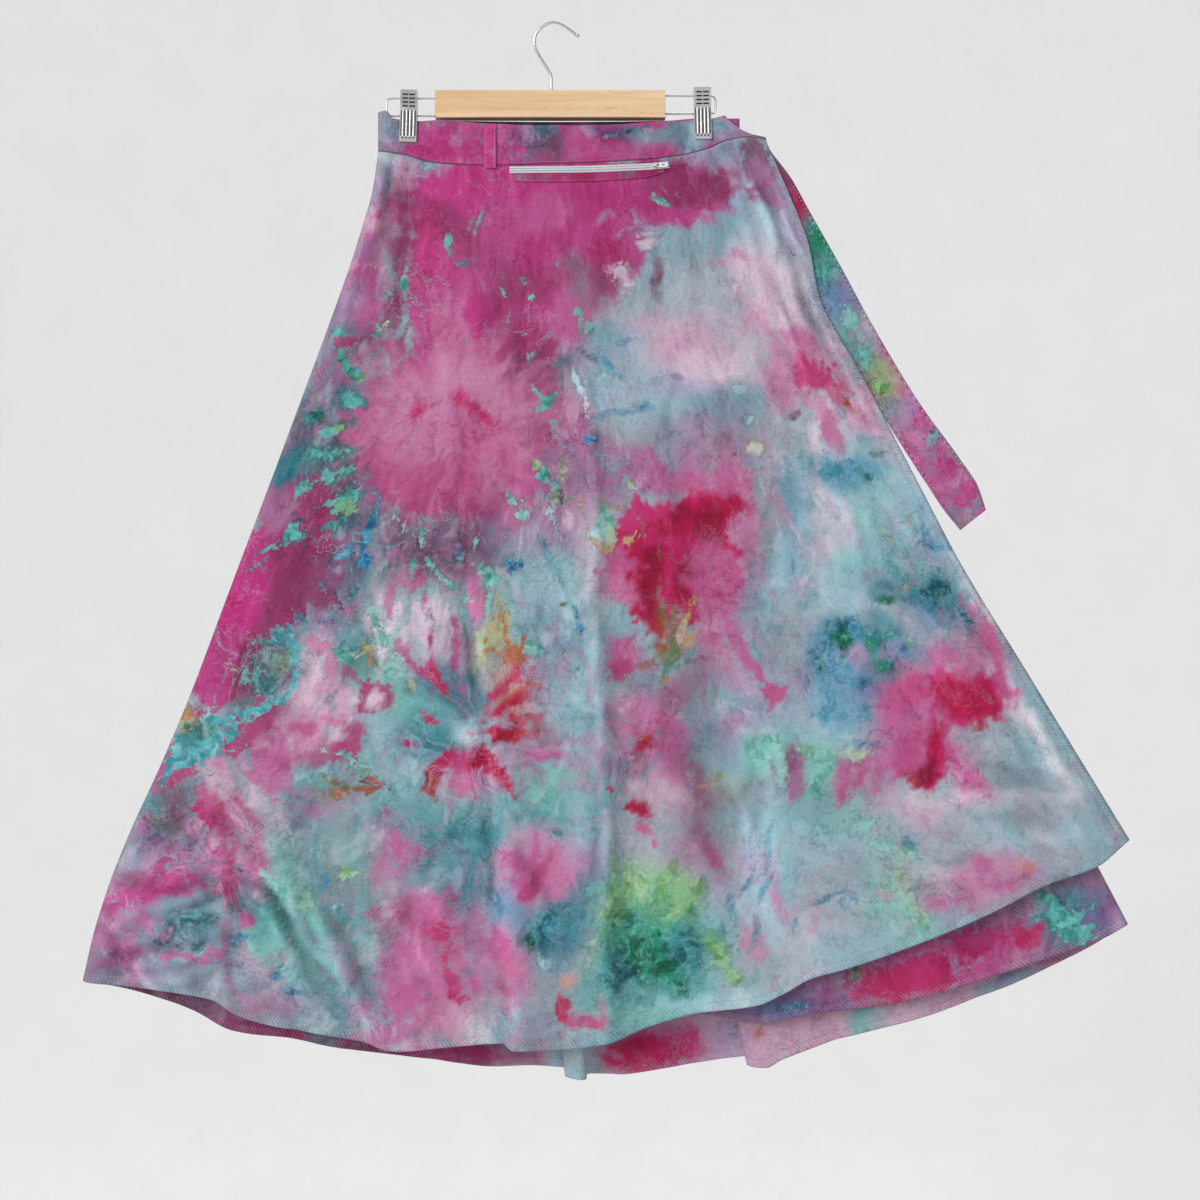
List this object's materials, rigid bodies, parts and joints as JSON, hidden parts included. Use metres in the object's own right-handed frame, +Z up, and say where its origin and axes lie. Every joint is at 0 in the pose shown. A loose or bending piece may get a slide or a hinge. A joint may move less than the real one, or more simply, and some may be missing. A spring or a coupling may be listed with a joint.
{
  "type": "wrap skirt on a clip hanger",
  "caption": "Long flared wrap skirt of thin dyed cloth with a zip pocket and ties, clipped by its waistband to a wooden hanger with a wire hook.",
  "frame": {"origin": "inner top of the hanger's hook, where a rail or peg carries it", "axes": "+Z up, -Y the front of the skirt, +Y towards the wall behind it, +X to the right of someone who faces the front"},
  "size_m": [1.1388, 0.0688, 1.1574],
  "materials": {
    "dyed_cloth": "matt woven rayon, tie-dyed in pink, purple, blue, turquoise and green",
    "zip_tape": "matt woven tape with a coil zip",
    "zip_metal": "white enamel",
    "hanger_wood": "clear satin varnish",
    "hanger_steel": "bright nickel plate"
  },
  "bodies": {
    "skirt": {"waistband_front": "dyed_cloth", "waistband_back": "dyed_cloth", "waistband_under": "dyed_cloth", "front_panel": "dyed_cloth", "back_panel": "dyed_cloth", "under_panel": "dyed_cloth", "outer_tie": "dyed_cloth", "inner_tie": "dyed_cloth", "belt_loop": "dyed_cloth", "zip_tape": "zip_tape", "pocket_welt": "dyed_cloth", "zip_slider": "zip_metal", "hanger_bar": "hanger_wood", "hanger_hook": "hanger_steel", "wire_left": "hanger_steel", "wire_right": "hanger_steel", "clip_left_front": "hanger_steel", "clip_left_back": "hanger_steel", "clip_left_spring": "hanger_steel", "clip_right_front": "hanger_steel", "clip_right_back": "hanger_steel", "clip_right_spring": "hanger_steel"},
    "pull": {"zip_pull": "zip_metal"}
  },
  "joints": [
    {"name": "pull_turn", "type": "hinge", "parent": "skirt", "child": "pull", "pos_m": [0.11193, -0.01457, -0.15731], "axis": [0.1063, -0.0364, -0.9937], "range_deg": [0, 170]}
  ]
}
